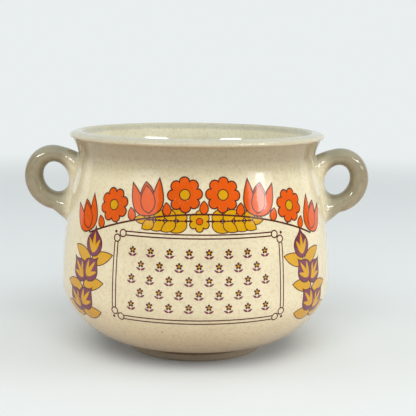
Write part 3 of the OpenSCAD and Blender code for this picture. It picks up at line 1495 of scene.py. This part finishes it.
@dataclass
class Frame(Film):
    """A double line with two knobs and a dot at each corner, and a field of small flowers inside it.

    Knobs and dots are placed by their distances in from the outer corner, across and up.
    """

    name = "print_frame"
    centre: float = 1.6
    half_w: float = 37.0
    low_z: float = 24.8
    high_z: float = 60.7
    band_w: float = 1.6
    band_h: float = 1.5
    end_w: float = 5.2
    end_h: float = 4.6
    line_w: float = 0.54
    line_steps: int = 40
    knob_r: float = 1.45
    knob_sides: int = 28
    knobs: tuple[tuple[float, float], ...] = ((3.75, 0.9), (1.0, 3.05))
    dot_r: float = 0.62
    dot_sides: int = 12
    dot: tuple[float, float] = (0.2, 0.5)
    rows: int = 5
    columns: int = 8
    field_h_gap: float = 4.25
    field_w_gap: float = 5.0
    petals: int = 5
    flower_r: float = 1.45
    notch_r: float = 0.62
    petal_steps: int = 8
    eye_r: float = 0.42
    eye_sides: int = 10
    leaf_h: float = 2.3
    leaf_w: float = 0.95
    leaf_steps: int = 5
    leaf_drop: float = 2.4
    leaf_lean: float = 62.0

    def _at(self, u: float, z: float) -> Spot:
        """Gives the place at a distance along the wall from the frame's middle line."""
        return Spot(self.centre + math.degrees(u / WALL.radius((self.low_z + self.high_z) / 2)), z)

    def _line(self, start: tuple[float, float], end: tuple[float, float]) -> None:
        """Prints one straight line.

        Args:
            start: Where it starts: distance from the middle line, and height.
            end: Where it ends.
        """
        home = self._at(0, (self.low_z + self.high_z) / 2)
        a, b, base = Vector(start), Vector(end), Vector((0, home.z))
        path = [a.lerp(b, i / self.line_steps) - base for i in range(self.line_steps + 1)]
        self.line(path, self.line_w, Ink.LINE, home)

    def draw(self) -> None:
        """Prints the lines, the corners and the field."""
        w, low, high = self.half_w, self.low_z, self.high_z
        for z in (low, low + self.band_h, high - self.band_h, high):
            self._line((self.end_w - w, z), (w - self.end_w, z))
        for u in (-w, self.band_w - w, w - self.band_w, w):
            self._line((u, low + self.end_h), (u, high - self.end_h))
        for sign in (-1, 1):
            for z, up in ((low, 1), (high, -1)):
                self._corner(sign, z, up)
        self._field()

    def _corner(self, sign: int, z: float, up: int) -> None:
        """Prints the knobs and the dot of a corner.

        Args:
            sign: 1 for the right side, -1 for the left.
            z: Height of the corner.
            up: 1 if the frame is above it, -1 if below.
        """
        for across, over in self.knobs:
            at = self._at(sign * (self.half_w - across), z + up * over)
            self.line(disc(self.knob_r, self.knob_sides), self.line_w, Ink.LINE, at, 0, True)
        across, over = self.dot
        at = self._at(sign * (self.half_w - across), z + up * over)
        self.add(disc(self.dot_r, self.dot_sides), Ink.LINE, at)

    def _field(self) -> None:
        """Prints the small flowers in staggered rows, each over two leaves."""
        pitch_z = (self.high_z - self.low_z - 2 * self.field_h_gap) / self.rows
        pitch_w = (2 * self.half_w - 2 * self.field_w_gap) / self.columns
        flower = blossom(self.petals, self.flower_r, self.notch_r, self.petal_steps)
        blade = leaf(self.leaf_h, self.leaf_w, self.leaf_steps)
        for row in range(self.rows):
            z = self.low_z + self.field_h_gap + (row + 0.5) * pitch_z
            count = self.columns - row % 2
            for column in range(count):
                at = self._at((column - (count - 1) / 2) * pitch_w, z)
                self.add(flower, Ink.LINE, at)
                self.add(disc(self.eye_r, self.eye_sides), Ink.GOLD, at, 1)
                for turn in (-self.leaf_lean, self.leaf_lean):
                    self.add(blade, Ink.PURPLE, Spot(at.angle, at.z - self.leaf_drop, turn))


# Stage, light and camera

@dataclass(frozen=True)
class Lamp:
    """A soft lamp that faces the pot, with its place in degrees and its sizes in metres.

    Its brightness is that of its face, where white paper in full light is 1. A glint is only mirrored by the
    glaze, and any other lamp only lights the object.
    """

    name: str
    azimuth: float
    elevation: float
    far: float
    width: float
    height: float
    brightness: float
    glint: bool = False
    aim_z: float = 0.06

    def build(self) -> None:
        """Makes the lamp."""
        data = bpy.data.lights.new(self.name, "AREA")
        data.shape = "RECTANGLE"
        data.size, data.size_y = self.width, self.height
        data.energy = math.pi * self.width * self.height * self.brightness
        lamp = add_object(self.name, data)
        a, e = math.radians(self.azimuth), math.radians(self.elevation)
        way = Vector((math.sin(a) * math.cos(e), -math.cos(a) * math.cos(e), math.sin(e)))
        lamp.location = Vector((0, 0, self.aim_z)) + way * self.far
        lamp.rotation_euler = way.to_track_quat("Z", "Y").to_euler()
        lamp.visible_glossy, lamp.visible_diffuse = self.glint, not self.glint


@dataclass
class Studio:
    """A plain pale floor and surround, a broad soft key, and windows and bars that the glaze mirrors.

    Sizes are metres, and card_half is radians to each side of the front. Near the pot the floor throws back
    as little light, and as warm, as a wooden table does.
    """

    floor_r: float = 3.0
    floor_sides: int = 96
    floor_drop: float = 0.00002
    pale: Colour = (0.80, 0.83, 0.83)
    surround: Colour = (0.82, 0.855, 0.86)
    bounce: Colour = (0.98, 0.74, 0.57)
    shade: Colour = (0.30, 0.18, 0.10)
    shade_near: float = 0.05
    shade_far: float = 0.10
    fade_near: float = 0.20
    fade_far: float = 0.9
    ambient: float = 0.62
    card_half: float = 2.0
    card_r: float = 1.7
    card_h: float = 1.1
    card_steps: int = 44
    card: Colour = (0.8, 0.8, 0.8)
    card_strength: float = 0.16
    # Name, azimuth, elevation, distance, width, height and brightness
    lamps: tuple[Lamp, ...] = (
        Lamp("key", 0, 44, 1.5, 1.4, 0.8, 3.5),
        Lamp("fill_left", -80, 14, 1.5, 1.0, 0.9, 2.2),
        Lamp("fill_right", 78, 14, 1.5, 1.0, 0.9, 4.2),
        Lamp("window_left", -47, 13, 1.2, 0.54, 0.17, 1.4, True),
        Lamp("window_right", 60, 13, 1.2, 0.54, 0.17, 2.6, True),
        Lamp("core_right", 60, 13.3, 1.15, 0.17, 0.11, 8.0, True),
        Lamp("bar_left", -40, 26.5, 1.2, 0.50, 0.11, 28.0, True),
        Lamp("bar_right", 50, 26.5, 1.2, 0.54, 0.11, 32.0, True),
    )

    def build(self) -> None:
        """Makes the floor, the surround, the dark card and the lamps."""
        self._floor()
        self._world()
        self._card()
        for lamp in self.lamps:
            lamp.build()

    def _shown(self, g: Graph) -> Wire:
        """Tells the rays that show the background from those that light the object.

        Args:
            g: The graph that it goes in.

        Returns:
            1 for camera, mirror and glass rays, and 0 for the others.
        """
        path = g.node("ShaderNodeLightPath")
        camera, mirror, glass = (
            Wire(g, path.outputs[f"Is {kind} Ray"]) for kind in ("Camera", "Glossy", "Transmission")
        )
        return camera.at_least(mirror).at_least(glass)

    def _floor(self) -> None:
        """Makes the floor, which keeps the object's shadow and fades into the surround."""
        bm = bmesh.new()
        bmesh.ops.create_circle(bm, cap_ends=True, segments=self.floor_sides, radius=self.floor_r)
        bmesh.ops.translate(bm, verts=bm.verts[:], vec=(0, 0, -self.floor_drop))
        g = Graph(bpy.data.materials.new("floor_pale"))
        shown, x, y = self._shown(g), g.axis("X"), g.axis("Y")
        out = x * x + y * y
        thrown = g.blend(out.root().ramp(self.shade_near, self.shade_far), self.shade, self.bounce)
        near = g.wire("ShaderNodeBsdfDiffuse", 0, None, {"Color": g.blend(shown, thrown, self.pale)})
        far = g.wire("ShaderNodeEmission", 0, None, {"Color": self.surround, "Strength": 1.0})
        finish = g.close(g.either(out.ramp(self.fade_near, self.fade_far) * shown, near, far))
        make_object("floor", bm, [finish])

    def _world(self) -> None:
        """Makes a pale surround that lights the object less than it shows."""
        world = bpy.data.worlds.new("surround")
        bpy.context.scene.world = world
        g = Graph(world)
        dim, full = (
            g.wire("ShaderNodeBackground", 0, None, {"Color": self.surround, "Strength": strength})
            for strength in (self.ambient, 1.0)
        )
        g.close(g.either(self._shown(g), dim, full), "ShaderNodeOutputWorld")

    def _card(self) -> None:
        """Makes a dark curved card round the front, which only the glaze mirrors, as it would a dim room."""
        bm = bmesh.new()
        start = Vector((math.sin(-self.card_half), -math.cos(-self.card_half), 0)) * self.card_r
        low, high = bm.verts.new(start), bm.verts.new(start + Vector((0, 0, self.card_h)))
        geom = [low, high, bm.edges.new((low, high))]
        turn = 2 * self.card_half
        bmesh.ops.spin(bm, geom=geom, cent=ORIGIN, axis=UP, angle=turn, steps=self.card_steps)
        g = Graph(bpy.data.materials.new("card_dark"))
        dim = g.wire("ShaderNodeEmission", 0, None, {"Color": self.card, "Strength": self.card_strength})
        card = make_object("dark_card", bm, [g.close(dim)])
        card.visible_camera = card.visible_diffuse = card.visible_shadow = False


@dataclass(frozen=True)
class PhotoCamera:
    """The photograph's camera, fitted to the pot's outlines. Its angles are radians."""

    place: tuple[float, float, float] = (2.44, -412.35, 127.06)
    pitch: float = 0.15532
    yaw: float = 0.00685
    roll: float = 0.01289
    focal_px: float = 913.75
    image_px: float = 416.0
    sensor: float = 36.0
    clip: tuple[float, float] = (0.01, 20)

    def build(self) -> None:
        """Makes the camera and makes it the scene's."""
        flat, fall = math.cos(self.pitch), math.sin(self.pitch)
        ahead = Vector((math.sin(self.yaw) * flat, math.cos(self.yaw) * flat, -fall))
        level = Vector((math.cos(self.yaw), -math.sin(self.yaw), 0))
        over = level.cross(ahead)
        c, s = math.cos(self.roll), math.sin(self.roll)
        turned = Matrix((c * level + s * over, c * over - s * level, -ahead)).transposed()
        data = bpy.data.cameras.new("camera")
        data.sensor_fit = "HORIZONTAL"
        data.sensor_width = self.sensor
        data.lens = self.sensor * self.focal_px / self.image_px
        data.clip_start, data.clip_end = self.clip
        camera = add_object("camera", data)
        camera.matrix_world = Matrix.Translation(Vector(self.place) * MM) @ turned.to_4x4()
        bpy.context.scene.camera = camera


def main() -> None:
    """Makes the camera and the stage, then builds the pieces in order and reports each."""
    logging.basicConfig(level=logging.INFO, format="%(message)s")
    bpy.context.scene.view_settings.view_transform = "Standard"
    PhotoCamera().build()
    Studio().build()
    ears = [EarHandle(side) for side in Side]
    sprigs = [Sprig(side) for side in Side]
    for maker in (Pot(), *ears, Garland(), LeafSpray(), *sprigs, Frame()):
        piece = maker.build()
        log.info("%s: %d faces", piece.name, len(piece.data.polygons))


if __name__ == "__main__":
    main()
